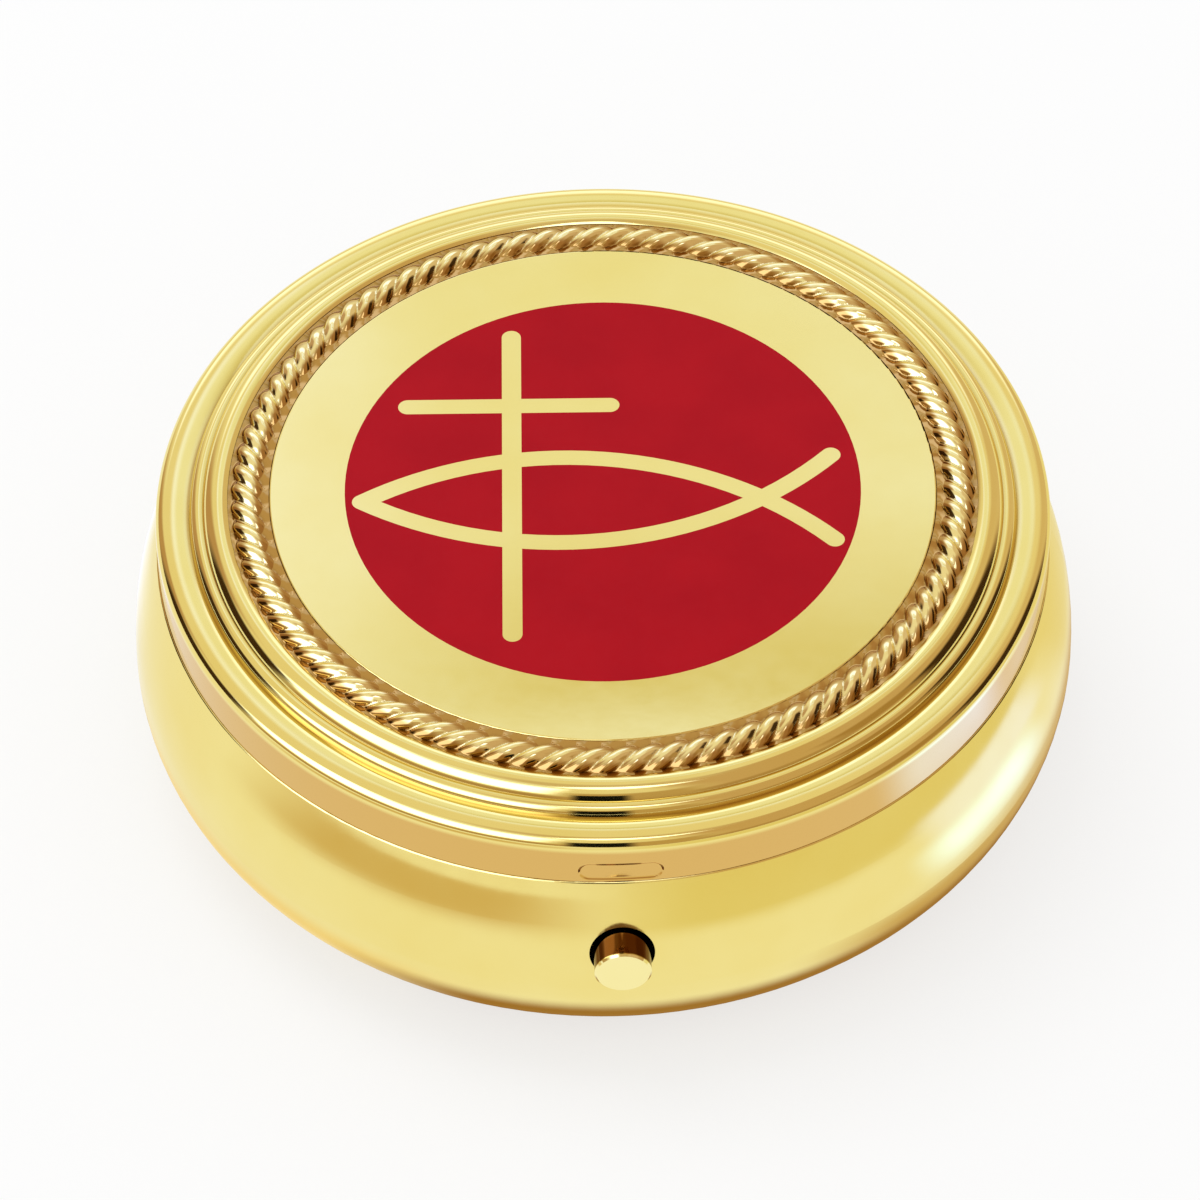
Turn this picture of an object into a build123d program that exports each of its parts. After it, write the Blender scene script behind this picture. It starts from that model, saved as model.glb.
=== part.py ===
"""A round push-button pyx: a bulging bowl, a hinged lid with an enamelled medallion, and its catch.

Millimetres. The origin is the middle of the base, +Z is up, the button faces -Y and the hinge is at +Y.
"""

from build123d import *
from math import asin, cos, degrees, radians, sin, sqrt
import os

# Bowl
bowl_radius = 25.4
widest_height = 6.6
seam_height = 13.45
shoulder_draw = 1.5
shell_wall = 0.6
mouth_round = 0.1

# Lid, with its steps measured in from the skirt and down from the face of the medallion plate
lid_height = 4.0
lid_inset = 0.05
lid_wall = 0.6
lid_floor = 0.7
rim_drop = 1.07
rim_round = 0.6
rim_crown = 0.15
rim_width = 1.79
rim_slope = 0.2
ledge_drop = 0.58
ledge_width = 0.54
ledge_slope = 0.17
ledge_round = 0.6
moulding_drop = 0.16
moulding_crown = 0.16
moulding_width = 1.19
moulding_round = 0.9
cartouche_length = 4.3
cartouche_width = 1.15
cartouche_depth = 0.08
cartouche_rise = 0.68

# Rope border
rope_width = 2.16
rope_crest = 0.3
rope_crown = 0.55
rope_flutes = 88
flute_depth = 0.26
flute_half_width = 0.34
lay_angle = 52.0

# Medallion, with the ends of its lines measured in from the enamel's edge along X or Y
plate_thickness = 0.8
plate_border = 4.08
plate_round = 0.1
enamel_depth = 0.35
line_width = 1.04
cross_x = -4.83
cross_top_margin = 2.09
cross_bottom_margin = 2.82
crossbar_y = 6.0
crossbar_left_margin = 2.79
crossbar_right = 0.97
fish_y = -0.9
fish_nose_margin = 0.92
fish_belly_x = -2.2
fish_half_height = 3.06
fish_tail_margin = 1.52
fish_tail_spread = 3.05
medallion_turn = -1.5

# Ring in the bowl's mouth
ring_step = 0.74
ring_wall = 0.6
ring_depth = 3.2

# Liners
liner_wall = 0.5
liner_floor = 0.95
liner_corner = 2.2
liner_lip = 0.35
lid_liner_thickness = 0.5
lid_liner_rim = 3.9
lid_liner_recess = 0.15

# Hinge
hinge_stand = 0.5
knuckle_radius = 1.0
pin_radius = 0.45
pin_overhang = 0.15
leaf_thickness = 0.5
leaf_flange = 0.45
spring_bay = 3.8
lid_knuckle = 1.5
body_knuckle = 2.0
knuckle_foot = 1.2

# Lid spring
wire_radius = 0.2
coil_gap_to_pin = 0.1
coil_pitch = 1.0
coil_full_turns = 2
spring_leg = 1.6

# Button and catch
button_drop = 4.2
button_radius = 1.48
button_proud = 1.3
button_travel = 0.6
button_bevel = 0.1
tail_radius = 0.55
tail_head_radius = 0.95
tail_head = 0.3
strip_thickness = 0.35
strip_top_drop = 1.3
strip_width = 1.7
strip_sweep = 56.0
pad_half_width = 2.3
tongue_half_width = 1.7
hook_height = 0.35
hook_tip = 0.1
keeper_rise = 0.35
keeper_thickness = 0.4
keeper_half_width = 2.2
keeper_flange = 0.4
rivet_radius = 0.35
rivet_head_radius = 0.65
rivet_head = 0.28
rivet_angles = (-38.0, -49.0)

# Clearances
seat_gap = 0.05
seam_gap = 0.1
pin_press_gap = 0.01
pin_running_gap = 0.04
knuckle_gap = 0.1
notch_gap = 0.2
leaf_gap = 0.15
catch_gap = 0.05
rivet_gap = 0.03
button_gap = 0.22
button_stop_gap = 0.17
hook_release_gap = 0.2
lid_liner_gap = 0.2

# Bowl curves: a quarter circle under the widest line and a flatter arc over it
base_radius = bowl_radius - widest_height
mouth_radius = bowl_radius - shoulder_draw
shoulder_rise = seam_height - widest_height
shoulder_radius = (shoulder_rise**2 + shoulder_draw**2) / (2 * shoulder_draw)
shoulder_centre = bowl_radius - shoulder_radius


def bowl_reach(height, inset):
    """Radius of the bowl's upper curve at a height, drawn in by inset."""
    return shoulder_centre + sqrt((shoulder_radius - inset) ** 2 - (height - widest_height) ** 2)


mouth_inner = bowl_reach(seam_height, shell_wall)

# Radii of the lid's steps, from the skirt inward
lid_radius = mouth_radius - lid_inset
skirt_inner = lid_radius - lid_wall
rim_inner_radius = lid_radius - rim_width
ledge_outer_radius = rim_inner_radius - rim_slope
ledge_inner_radius = ledge_outer_radius - ledge_width
moulding_outer_radius = ledge_inner_radius - ledge_slope
rope_outer_radius = moulding_outer_radius - moulding_width
rope_inner_radius = rope_outer_radius - rope_width
enamel_radius = rope_inner_radius - plate_border

# Heights in the lid
plate_height = seam_height + lid_height
rim_z = plate_height - rim_drop
ledge_z = plate_height - ledge_drop
moulding_z = plate_height - moulding_drop
groove_z = plate_height - plate_thickness
lid_under_z = groove_z - lid_floor
skirt_z = seam_height + seam_gap
lid_liner_z = lid_under_z - seat_gap - lid_liner_thickness

# Hinge: the pin lies on the seam, with a leaf below it and a leaf above
hinge_y = mouth_radius + hinge_stand
hinge_z = seam_height
leaf_reach = knuckle_radius + leaf_gap
body_leaf_z = hinge_z - leaf_reach - leaf_thickness
lid_leaf_z = hinge_z + leaf_reach
lid_leaf_top = lid_leaf_z + leaf_thickness
lid_leaf_outer = skirt_inner - seat_gap
lid_leaf_inner = lid_leaf_outer - leaf_flange
lid_knuckle_start = spring_bay / 2
lid_knuckle_end = lid_knuckle_start + lid_knuckle
body_knuckle_start = lid_knuckle_end + knuckle_gap
hinge_half_length = body_knuckle_start + body_knuckle
notch_half = hinge_half_length + notch_gap
coil_radius = pin_radius + coil_gap_to_pin + wire_radius

# Ring: its flange sits on the hinge leaf and its spigot carries the cup's lip under the lid's liner
ring_wall_outer = mouth_inner - ring_step
ring_wall_inner = ring_wall_outer - ring_wall
ring_outer = mouth_inner - seat_gap
ring_flange = leaf_reach
ring_flange_z = seam_height - ring_flange
ring_bottom_z = seam_height - ring_depth
lip_z = lid_liner_z - lid_liner_gap
spigot_z = lip_z - liner_lip
spigot_height = spigot_z - seam_height

# Catch: the strip lies inside the ring's wall and its hook reaches out through a window
button_height = seam_height - button_drop
button_hole_radius = button_radius + button_gap
strip_outer = ring_wall_inner - seat_gap
strip_inner = strip_outer - strip_thickness
strip_top = seam_height - strip_top_drop
strip_bottom = strip_top - strip_width
strip_middle = strip_top - strip_width / 2
pad_bottom = button_height - button_radius
keeper_z = seam_height + keeper_rise
keeper_outer = skirt_inner - seat_gap
hook_z = keeper_z + keeper_thickness + catch_gap
hook_top = hook_z + hook_height
hook_reach = ring_wall_outer + hook_tip
keeper_inner = hook_reach - button_travel + hook_release_gap
window_half = keeper_half_width + notch_gap
button_seat = strip_outer + catch_gap
button_end = bowl_reach(button_height, 0) + button_proud
tail_end = strip_inner - rivet_gap - tail_head

# Inner cup: it leaves room for the button's staked tail at the end of its travel
liner_radius = tail_end - button_travel - button_stop_gap
liner_inner = liner_radius - liner_wall

front = -90.0


def radial_plane(angle):
    """Upright plane through the bowl's axis, with x pointing outward at the angle and y up."""
    turn = radians(angle)
    return Plane(origin=(0, 0, 0), x_dir=(cos(turn), sin(turn), 0), z_dir=(sin(turn), -cos(turn), 0))


def outward_plane(angle, height):
    """Plane on the bowl's axis at a height, facing outward at the angle."""
    turn = radians(angle)
    return Plane(origin=(0, 0, height), x_dir=(-sin(turn), cos(turn), 0), z_dir=(cos(turn), sin(turn), 0))


def half_angle(half_width, radius):
    """Half the angle that a width takes up on a circle."""
    return degrees(asin(half_width / radius))


def bowl_half(inset):
    """Half section of the bowl's outside, drawn in by inset and closed at the seam."""
    sweep = degrees(asin(shoulder_rise / (shoulder_radius - inset)))
    with BuildSketch() as half:
        with BuildLine():
            Line((0, inset), (base_radius, inset))
            CenterArc((base_radius, widest_height), widest_height - inset, -90, 90)
            shoulder = CenterArc((shoulder_centre, widest_height), shoulder_radius - inset, 0, sweep)
            Polyline(shoulder @ 1, (0, seam_height), (0, inset))
        make_face()
    return half.sketch


def rear_block(half_width, bottom, top):
    """Block across the rear of the wall, used to notch it for the hinge."""
    depth = 2 * knuckle_radius
    with BuildPart(Plane.XY.offset(bottom)) as block:
        with Locations((0, hinge_y, 0)):
            Box(2 * half_width, 2 * depth, top - bottom, align=(Align.CENTER, Align.CENTER, Align.MIN))
    return block.part


def ring_sector(inner, outer, half_width):
    """Flat piece of a ring at the rear, as wide as the hinge piece that it belongs to."""
    with BuildSketch() as sector:
        Circle(outer)
        Circle(inner, mode=Mode.SUBTRACT)
        with Locations((0, outer)):
            Rectangle(2 * half_width, outer, mode=Mode.INTERSECT)
    return sector.sketch


def knuckle_half(foot_z, bore):
    """End view of a knuckle with the foot that joins it to its leaf."""
    foot = abs(foot_z - hinge_z)
    with BuildSketch() as view:
        with Locations((hinge_y, hinge_z)):
            Circle(knuckle_radius)
        with Locations((hinge_y - knuckle_foot / 2, (foot_z + hinge_z) / 2)):
            Rectangle(knuckle_foot, foot)
        with Locations((hinge_y, hinge_z)):
            Circle(bore, mode=Mode.SUBTRACT)
    return view.sketch


# Bowl shell, with the button's hole in front and a notch for the hinge behind
with BuildPart() as bowl_shell:
    with BuildSketch(Plane.XZ):
        add(bowl_half(0))
        add(bowl_half(shell_wall), mode=Mode.SUBTRACT)
    revolve(axis=Axis.Z)
    mouth_edges = bowl_shell.edges().filter_by(GeomType.CIRCLE).group_by(Axis.Z)[-1]
    fillet(mouth_edges.sort_by(SortBy.RADIUS)[-1], radius=mouth_round)
    with BuildSketch(outward_plane(front, button_height)):
        Circle(button_hole_radius)
    extrude(amount=button_end, mode=Mode.SUBTRACT)
    add(rear_block(notch_half, body_leaf_z - seam_gap, plate_height), mode=Mode.SUBTRACT)

# Ring in the bowl's mouth: a flange, a skirt below it and a spigot that the lid closes over
with BuildPart() as rim_ring:
    with BuildSketch(Plane.XZ):
        with Locations((ring_wall_inner, ring_bottom_z)):
            Rectangle(ring_wall, spigot_z - ring_bottom_z, align=(Align.MIN, Align.MIN))
        with Locations((ring_wall_inner, ring_flange_z)):
            Rectangle(ring_outer - ring_wall_inner, ring_flange, align=(Align.MIN, Align.MIN))
    revolve(axis=Axis.Z)
    with BuildSketch(outward_plane(front, seam_height)):
        with Locations((0, spigot_height)):
            Rectangle(2 * window_half, 2 * spigot_height)
    extrude(amount=ring_outer, mode=Mode.SUBTRACT)
    with BuildSketch(outward_plane(front, ring_flange_z)):
        Rectangle(2 * button_hole_radius, 2 * (ring_depth - ring_flange))
    extrude(amount=ring_outer, mode=Mode.SUBTRACT)
    with BuildSketch(Plane.XY.offset(ring_flange_z)):
        add(ring_sector(ring_wall_outer, hinge_y, lid_knuckle_start))
    extrude(amount=ring_flange, mode=Mode.SUBTRACT)
    for angle in rivet_angles:
        with BuildSketch(outward_plane(front + angle, strip_middle)):
            Circle(rivet_radius + rivet_gap)
        extrude(amount=ring_outer, mode=Mode.SUBTRACT)

# Inner cup, with a lip on the spigot and a gap in the lip for the catch
with BuildPart() as liner_cup:
    with BuildSketch(Plane.XY.offset(liner_floor)):
        Circle(liner_radius)
    extrude(amount=lip_z - liner_floor)
    fillet(liner_cup.edges().group_by(Axis.Z)[0], radius=liner_corner)
    offset(amount=-liner_wall, openings=liner_cup.faces().sort_by(Axis.Z)[-1])
    with BuildSketch(Plane.XY.offset(spigot_z)):
        Circle(ring_wall_outer)
        Circle(liner_inner, mode=Mode.SUBTRACT)
    extrude(amount=liner_lip)
    with BuildSketch(Plane.XY.offset(spigot_z)):
        with Locations((0, -ring_wall_outer)):
            Rectangle(2 * window_half, 2 * (ring_wall_outer - liner_radius - catch_gap))
    extrude(amount=liner_lip, mode=Mode.SUBTRACT)

# Fixed hinge leaf under the ring's flange
with BuildPart() as body_hinge_leaf:
    with BuildSketch(Plane.XY.offset(body_leaf_z)):
        add(ring_sector(ring_wall_outer + seat_gap, bowl_reach(body_leaf_z, 0) - seat_gap, hinge_half_length))
    extrude(amount=leaf_thickness)
    for start in (-hinge_half_length, body_knuckle_start):
        with BuildSketch(Plane.YZ.offset(start)):
            add(knuckle_half(body_leaf_z, pin_radius + pin_press_gap))
        extrude(amount=body_knuckle)

# Lid's hinge leaf: a web through the skirt's notch and a flange up the inside of the skirt
with BuildPart() as lid_hinge_leaf:
    with BuildSketch(Plane.XY.offset(lid_leaf_z)):
        add(ring_sector(lid_leaf_inner, lid_radius, lid_knuckle_end))
    extrude(amount=leaf_thickness)
    with BuildSketch(Plane.XY.offset(lid_leaf_z)):
        add(ring_sector(lid_leaf_inner, lid_leaf_outer, hinge_half_length))
    extrude(amount=lid_under_z - seat_gap - lid_leaf_z)
    for start in (-lid_knuckle_end, lid_knuckle_start):
        with BuildSketch(Plane.YZ.offset(start)):
            add(knuckle_half(lid_leaf_top, pin_radius + pin_running_gap))
        extrude(amount=lid_knuckle)

# Hinge pin
pin_half_length = hinge_half_length + pin_overhang
with BuildPart() as hinge_pin:
    with BuildSketch(Plane.YZ.offset(-pin_half_length)):
        with Locations((hinge_y, hinge_z)):
            Circle(pin_radius)
    extrude(amount=2 * pin_half_length)
    chamfer(hinge_pin.edges().filter_by(GeomType.CIRCLE), length=pin_overhang / 2)

# Lid spring: a coil on the pin with one leg on the fixed leaf and one under the lid's leaf
quarter = 90
coil_sweep = 360 * coil_full_turns + 180
coil_start_x = -coil_pitch * coil_sweep / 360 / 2


def coil_point(angle):
    """Point of the coil, starting below the pin and winding outward and over it."""
    turn = radians(angle)
    x = coil_start_x + coil_pitch * angle / 360
    return Vector(x, hinge_y + coil_radius * sin(turn), hinge_z - coil_radius * cos(turn))


def coil_heading(angle):
    """Unit direction of the coil at an angle."""
    turn = radians(angle)
    lead = coil_pitch / radians(360)
    return Vector(lead, coil_radius * cos(turn), coil_radius * sin(turn)).normalized()


def biarc_joint(start, heading, end, end_heading):
    """Point where two tangent arcs between two headed points meet, and the heading there."""
    chord = end - start
    together = chord.dot(heading + end_heading)
    apart = 2 * (1 - heading.dot(end_heading))
    reach = (sqrt(together**2 + apart * chord.dot(chord)) - together) / apart
    first = start + heading * reach
    second = end - end_heading * reach
    return (first + second) * 0.5, (second - first).normalized()


coil_angles = range(0, coil_sweep, quarter)
with BuildPart() as lid_spring:
    with BuildLine() as coil_path:
        Line(coil_point(0) - coil_heading(0) * spring_leg, coil_point(0))
        for angle in coil_angles:
            begin, finish = coil_point(angle), coil_point(angle + quarter)
            joint, joint_heading = biarc_joint(begin, coil_heading(angle), finish, coil_heading(angle + quarter))
            TangentArc(begin, joint, tangent=coil_heading(angle))
            TangentArc(joint, finish, tangent=joint_heading)
        Line(coil_point(coil_sweep), coil_point(coil_sweep) + coil_heading(coil_sweep) * spring_leg)
    with BuildSketch(Plane(origin=coil_path.wire() @ 0, z_dir=coil_path.wire() % 0)):
        Circle(wire_radius)
    sweep(path=coil_path.wire())

coil_wire = coil_path.wire()
coil_steps = 400
coil_points = [coil_wire.position_at(step / coil_steps) for step in range(coil_steps + 1)]
half_turn_steps = int(coil_steps * radians(180) * coil_radius / coil_wire.length)
coil_gap = min(
    (coil_points[a] - coil_points[b]).length - 2 * wire_radius
    for a in range(coil_steps + 1)
    for b in range(a + half_turn_steps, coil_steps + 1)
)
print(f"least gap of the lid spring to itself: {coil_gap:.3f} mm")

# Catch spring: a strip inside the ring, a pad that the button is staked to, and the hook above it
with BuildPart() as catch_spring:
    pad_angle = half_angle(pad_half_width, strip_outer)
    with BuildSketch(radial_plane(front - strip_sweep)):
        with Locations((strip_inner, strip_bottom)):
            Rectangle(strip_thickness, strip_width, align=(Align.MIN, Align.MIN))
    revolve(axis=Axis.Z, revolution_arc=strip_sweep - pad_angle)
    with BuildSketch(radial_plane(front - pad_angle)):
        with Locations((strip_inner, pad_bottom)):
            Rectangle(strip_thickness, strip_top - pad_bottom, align=(Align.MIN, Align.MIN))
    revolve(axis=Axis.Z, revolution_arc=2 * pad_angle)
    tongue_angle = half_angle(tongue_half_width, strip_outer)
    with BuildSketch(radial_plane(front - tongue_angle)):
        with BuildLine():
            Polyline(
                (strip_inner, strip_top),
                (strip_outer, strip_top),
                (strip_outer, hook_z),
                (hook_reach, hook_z),
                (hook_reach, hook_z + hook_tip),
                (strip_outer, hook_top),
                (strip_inner, hook_top),
                close=True,
            )
        make_face()
    revolve(axis=Axis.Z, revolution_arc=2 * tongue_angle)
    with BuildSketch(outward_plane(front, button_height)):
        Circle(tail_radius + rivet_gap)
    extrude(amount=ring_outer, mode=Mode.SUBTRACT)
    for angle in rivet_angles:
        with BuildSketch(outward_plane(front + angle, strip_middle)):
            Circle(rivet_radius + rivet_gap)
        extrude(amount=ring_outer, mode=Mode.SUBTRACT)

# Two rivets through the strip and the ring's wall
with BuildPart() as catch_rivets:
    inner_head = strip_inner - rivet_head - rivet_gap
    outer_head = ring_wall_outer + rivet_gap
    for angle in rivet_angles:
        rivet_plane = outward_plane(front + angle, strip_middle)
        with BuildSketch(rivet_plane.offset(inner_head)):
            Circle(rivet_head_radius)
        extrude(amount=rivet_head)
        with BuildSketch(rivet_plane.offset(inner_head)):
            Circle(rivet_radius)
        extrude(amount=outer_head + rivet_head - inner_head)
        with BuildSketch(rivet_plane.offset(outer_head)):
            Circle(rivet_head_radius)
        extrude(amount=rivet_head)

# Push button, staked through the catch spring's pad
with BuildPart() as push_button:
    button_plane = outward_plane(front, button_height)
    with BuildSketch(button_plane.offset(button_seat)):
        Circle(button_radius)
    extrude(amount=button_end - button_seat)
    chamfer(push_button.edges().group_by(Axis.Y)[0], length=button_bevel)
    with BuildSketch(button_plane.offset(tail_end)):
        Circle(tail_radius)
    extrude(amount=button_seat - tail_end)
    with BuildSketch(button_plane.offset(tail_end)):
        Circle(tail_head_radius)
    extrude(amount=tail_head)

# Blank stamp panel on the lid's skirt
with BuildPart() as cartouche:
    with BuildSketch(outward_plane(front, skirt_z + cartouche_rise)):
        SlotOverall(cartouche_length, cartouche_width)
    extrude(amount=lid_radius + lid_wall)
    Cylinder(lid_radius - cartouche_depth, 2 * plate_height, mode=Mode.SUBTRACT)

# Lid shell: skirt, crowned rim, rounded ledge, crowned moulding and the seat for the rope and the medallion
rounded_corners = (
    ((moulding_outer_radius, moulding_z), moulding_round),
    ((ledge_outer_radius, ledge_z), ledge_round),
    ((lid_radius, rim_z), rim_round),
)
with BuildPart() as lid_shell:
    with BuildSketch(Plane.XZ) as lid_half:
        with BuildLine():
            Polyline(
                (skirt_inner, skirt_z),
                (skirt_inner, lid_under_z),
                (0, lid_under_z),
                (0, groove_z),
                (rope_outer_radius, groove_z),
                (rope_outer_radius, moulding_z),
            )
            ThreePointArc(
                (rope_outer_radius, moulding_z),
                ((rope_outer_radius + moulding_outer_radius) / 2, moulding_z + moulding_crown),
                (moulding_outer_radius, moulding_z),
            )
            Polyline(
                (moulding_outer_radius, moulding_z),
                (ledge_inner_radius, ledge_z),
                (ledge_outer_radius, ledge_z),
                (rim_inner_radius, rim_z),
            )
            ThreePointArc(
                (rim_inner_radius, rim_z),
                ((rim_inner_radius + lid_radius) / 2, rim_z + rim_crown),
                (lid_radius, rim_z),
            )
            Polyline((lid_radius, rim_z), (lid_radius, skirt_z), (skirt_inner, skirt_z))
        make_face()
        for corner, rounding in rounded_corners:
            fillet(lid_half.vertices().sort_by_distance(corner)[0], radius=rounding)
    revolve(axis=Axis.Z)
    add(rear_block(notch_half, 0, lid_leaf_top + seam_gap), mode=Mode.SUBTRACT)
    add(cartouche.part, mode=Mode.SUBTRACT)

# Rope border: a crowned ring cut by slanting flutes that run outward as they go clockwise
rope_middle = (rope_inner_radius + rope_outer_radius) / 2
rope_half_width = (rope_outer_radius - rope_inner_radius) / 2 - seat_gap
rope_top = plate_height + rope_crest
flute_reach = rope_half_width / sin(radians(lay_angle))
flute_path_radius = (flute_reach**2 + rope_crown**2) / (2 * rope_crown)
flute_across = Vector(cos(radians(lay_angle)), sin(radians(lay_angle)), 0)
flute_along = Vector(sin(radians(lay_angle)), -cos(radians(lay_angle)), 0)
flute_origin = Vector(rope_middle, 0, rope_top - flute_path_radius)

with BuildPart() as flute:
    with BuildSketch(Plane(origin=flute_origin, x_dir=flute_across, z_dir=flute_along)):
        with BuildLine():
            Polyline(
                (0, flute_path_radius - flute_depth),
                (2 * flute_half_width, flute_path_radius + flute_depth),
                (-2 * flute_half_width, flute_path_radius + flute_depth),
                close=True,
            )
        make_face()
    revolve(axis=Axis(flute_origin, flute_across))

with BuildPart() as rope_border:
    with BuildSketch(Plane.XZ):
        with BuildLine():
            Polyline(
                (rope_middle - rope_half_width, rope_top - rope_crown),
                (rope_middle - rope_half_width, groove_z),
                (rope_middle + rope_half_width, groove_z),
                (rope_middle + rope_half_width, rope_top - rope_crown),
            )
            ThreePointArc(
                (rope_middle + rope_half_width, rope_top - rope_crown),
                (rope_middle, rope_top),
                (rope_middle - rope_half_width, rope_top - rope_crown),
            )
        make_face()
    revolve(axis=Axis.Z)
    with PolarLocations(0, rope_flutes):
        add(flute.part, mode=Mode.SUBTRACT)

# Raised lines of the medallion: a cross and a fish drawn with two crossing arcs
cross_top = enamel_radius - cross_top_margin
cross_bottom = cross_bottom_margin - enamel_radius
crossbar_left = crossbar_left_margin - enamel_radius
fish_nose = (fish_nose_margin - enamel_radius, fish_y)
fish_tail_x = enamel_radius - fish_tail_margin
medallion_plane = Plane.XY.offset(plate_height - enamel_depth).rotated((0, 0, medallion_turn))
with BuildSketch(medallion_plane) as emblem:
    with Locations((cross_x, (cross_top + cross_bottom) / 2)):
        SlotOverall(cross_top - cross_bottom, line_width, rotation=90)
    with Locations(((crossbar_left + crossbar_right) / 2, crossbar_y)):
        SlotOverall(crossbar_right - crossbar_left, line_width)
    for side in (1, -1):
        fish_belly = (fish_belly_x, fish_y + side * fish_half_height)
        fish_tail = (fish_tail_x, fish_y - side * fish_tail_spread)
        with BuildLine() as fish_line:
            ThreePointArc(fish_nose, fish_belly, fish_tail)
        trace(line_width=line_width)
        with Locations(fish_nose, fish_tail):
            Circle(line_width / 2)

# Enamel in the cells between the lines
with BuildPart() as enamel_field:
    with BuildSketch(medallion_plane):
        Circle(enamel_radius)
        add(emblem.sketch_local, mode=Mode.SUBTRACT)
    extrude(amount=enamel_depth)

# Medallion plate, sunk where the enamel lies
with BuildPart() as medallion_plate:
    with BuildSketch(Plane.XY.offset(groove_z)):
        Circle(rope_inner_radius - seat_gap)
    extrude(amount=plate_thickness)
    fillet(medallion_plate.edges().group_by(Axis.Z)[-1], radius=plate_round)
    add(enamel_field.part, mode=Mode.SUBTRACT)

# Plain disc under the lid
lid_liner_radius = lid_leaf_inner - seat_gap
with BuildPart() as lid_liner:
    with BuildSketch(Plane.XY.offset(lid_liner_z)):
        Circle(lid_liner_radius)
    extrude(amount=lid_liner_thickness)
    with BuildSketch(Plane.XY.offset(lid_liner_z)):
        Circle(lid_liner_radius - lid_liner_rim)
    extrude(amount=lid_liner_recess, mode=Mode.SUBTRACT)

# Keeper: an angle bracket inside the skirt, with its ledge under the hook
with BuildPart() as catch_keeper:
    keeper_angle = half_angle(keeper_half_width, keeper_outer)
    with BuildSketch(radial_plane(front - keeper_angle)):
        with Locations((keeper_outer, keeper_z)):
            Rectangle(keeper_outer - keeper_inner, keeper_thickness, align=(Align.MAX, Align.MIN))
            Rectangle(keeper_flange, lid_under_z - seat_gap - keeper_z, align=(Align.MAX, Align.MIN))
    revolve(axis=Axis.Z, revolution_arc=2 * keeper_angle)

pieces = {
    "bowl_shell": bowl_shell,
    "rim_ring": rim_ring,
    "liner_cup": liner_cup,
    "body_hinge_leaf": body_hinge_leaf,
    "lid_hinge_leaf": lid_hinge_leaf,
    "hinge_pin": hinge_pin,
    "lid_spring": lid_spring,
    "catch_spring": catch_spring,
    "catch_rivets": catch_rivets,
    "push_button": push_button,
    "lid_shell": lid_shell,
    "rope_border": rope_border,
    "medallion_plate": medallion_plate,
    "enamel_field": enamel_field,
    "lid_liner": lid_liner,
    "catch_keeper": catch_keeper,
}

os.makedirs("parts", exist_ok=True)
for name, piece in pieces.items():
    piece.part.label = name
    export_step(piece.part, f"parts/{name}.step")
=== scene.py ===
"""Looks of a gilt push-button pyx: materials, turned lid, rope border, springs, studio light and the camera.

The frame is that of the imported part: +Z is up, the button faces -Y and the hinge is at +Y.
Sizes of pieces are in millimetres, and MM turns them into Blender's metres.
"""

import math

import bmesh
import bpy
from mathutils import Matrix, Vector


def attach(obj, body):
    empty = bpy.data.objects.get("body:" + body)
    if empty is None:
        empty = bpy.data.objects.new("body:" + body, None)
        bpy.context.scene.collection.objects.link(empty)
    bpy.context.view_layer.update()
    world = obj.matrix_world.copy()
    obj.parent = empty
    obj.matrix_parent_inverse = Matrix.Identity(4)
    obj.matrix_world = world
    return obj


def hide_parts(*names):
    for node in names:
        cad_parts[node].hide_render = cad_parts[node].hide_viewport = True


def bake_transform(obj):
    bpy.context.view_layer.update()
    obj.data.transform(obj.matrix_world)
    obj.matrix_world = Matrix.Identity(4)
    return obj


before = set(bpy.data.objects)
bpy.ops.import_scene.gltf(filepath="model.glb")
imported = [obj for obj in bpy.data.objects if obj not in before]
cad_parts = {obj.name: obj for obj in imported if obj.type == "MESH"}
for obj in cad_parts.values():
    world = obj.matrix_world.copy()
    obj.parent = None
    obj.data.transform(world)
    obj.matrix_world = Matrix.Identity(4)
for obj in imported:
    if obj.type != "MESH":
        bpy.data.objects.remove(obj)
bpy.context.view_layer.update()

MM = 0.001
FRONT = -90.0

# Camera, from the fitted outlines of the photograph
IMAGE_SIDE_PX = 1200
SENSOR_MM = 36.0
FOCAL_PX = 6433.0
PLATE_MIDDLE = Vector((0, 0, 17.45 * MM))
PLATE_MIDDLE_PX = (602.8, 486.9)
CAMERA_DISTANCE = 342 * MM
CAMERA_AZIMUTH = -92.0
CAMERA_ELEVATION = 47.2
CAMERA_ROLL = 0.3
CAMERA_CLIP = (0.01, 20)

# Colours, linear
WHITE = (1, 1, 1, 1)
GOLD_PALE = (0.90, 0.77, 0.30, 1)
GOLD_DEEP = (0.88, 0.73, 0.25, 1)
# Painted shade in the crevices of the gilt
GOLD_CREVICE_SHADE = (0.58, 0.36, 0.11, 1)
# Painted tan reflection on the lid's skirt
SKIRT_TAN_REFLECTION = (0.72, 0.46, 0.14, 1)
# Painted shade in the crevices of the lid
LID_CREVICE_SHADE = (0.42, 0.23, 0.06, 1)
# Paler gold of the rope, a painted highlight on its crest
ROPE_CREST_HIGHLIGHT = (0.96, 0.86, 0.46, 1)
ROPE_CREST_HIGHLIGHT_DEEP = (0.93, 0.80, 0.36, 1)
# Painted shade on the rope's flanks
ROPE_FLANK_SHADE = (0.52, 0.31, 0.09, 1)
# Painted shade, nearly black, in the gaps between the rope's lobes
ROPE_CREVICE_SHADE = (0.12, 0.06, 0.015, 1)
BUTTON_PALE = (0.97, 0.88, 0.46, 1)
BUTTON_DEEP = (0.95, 0.85, 0.40, 1)
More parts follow.
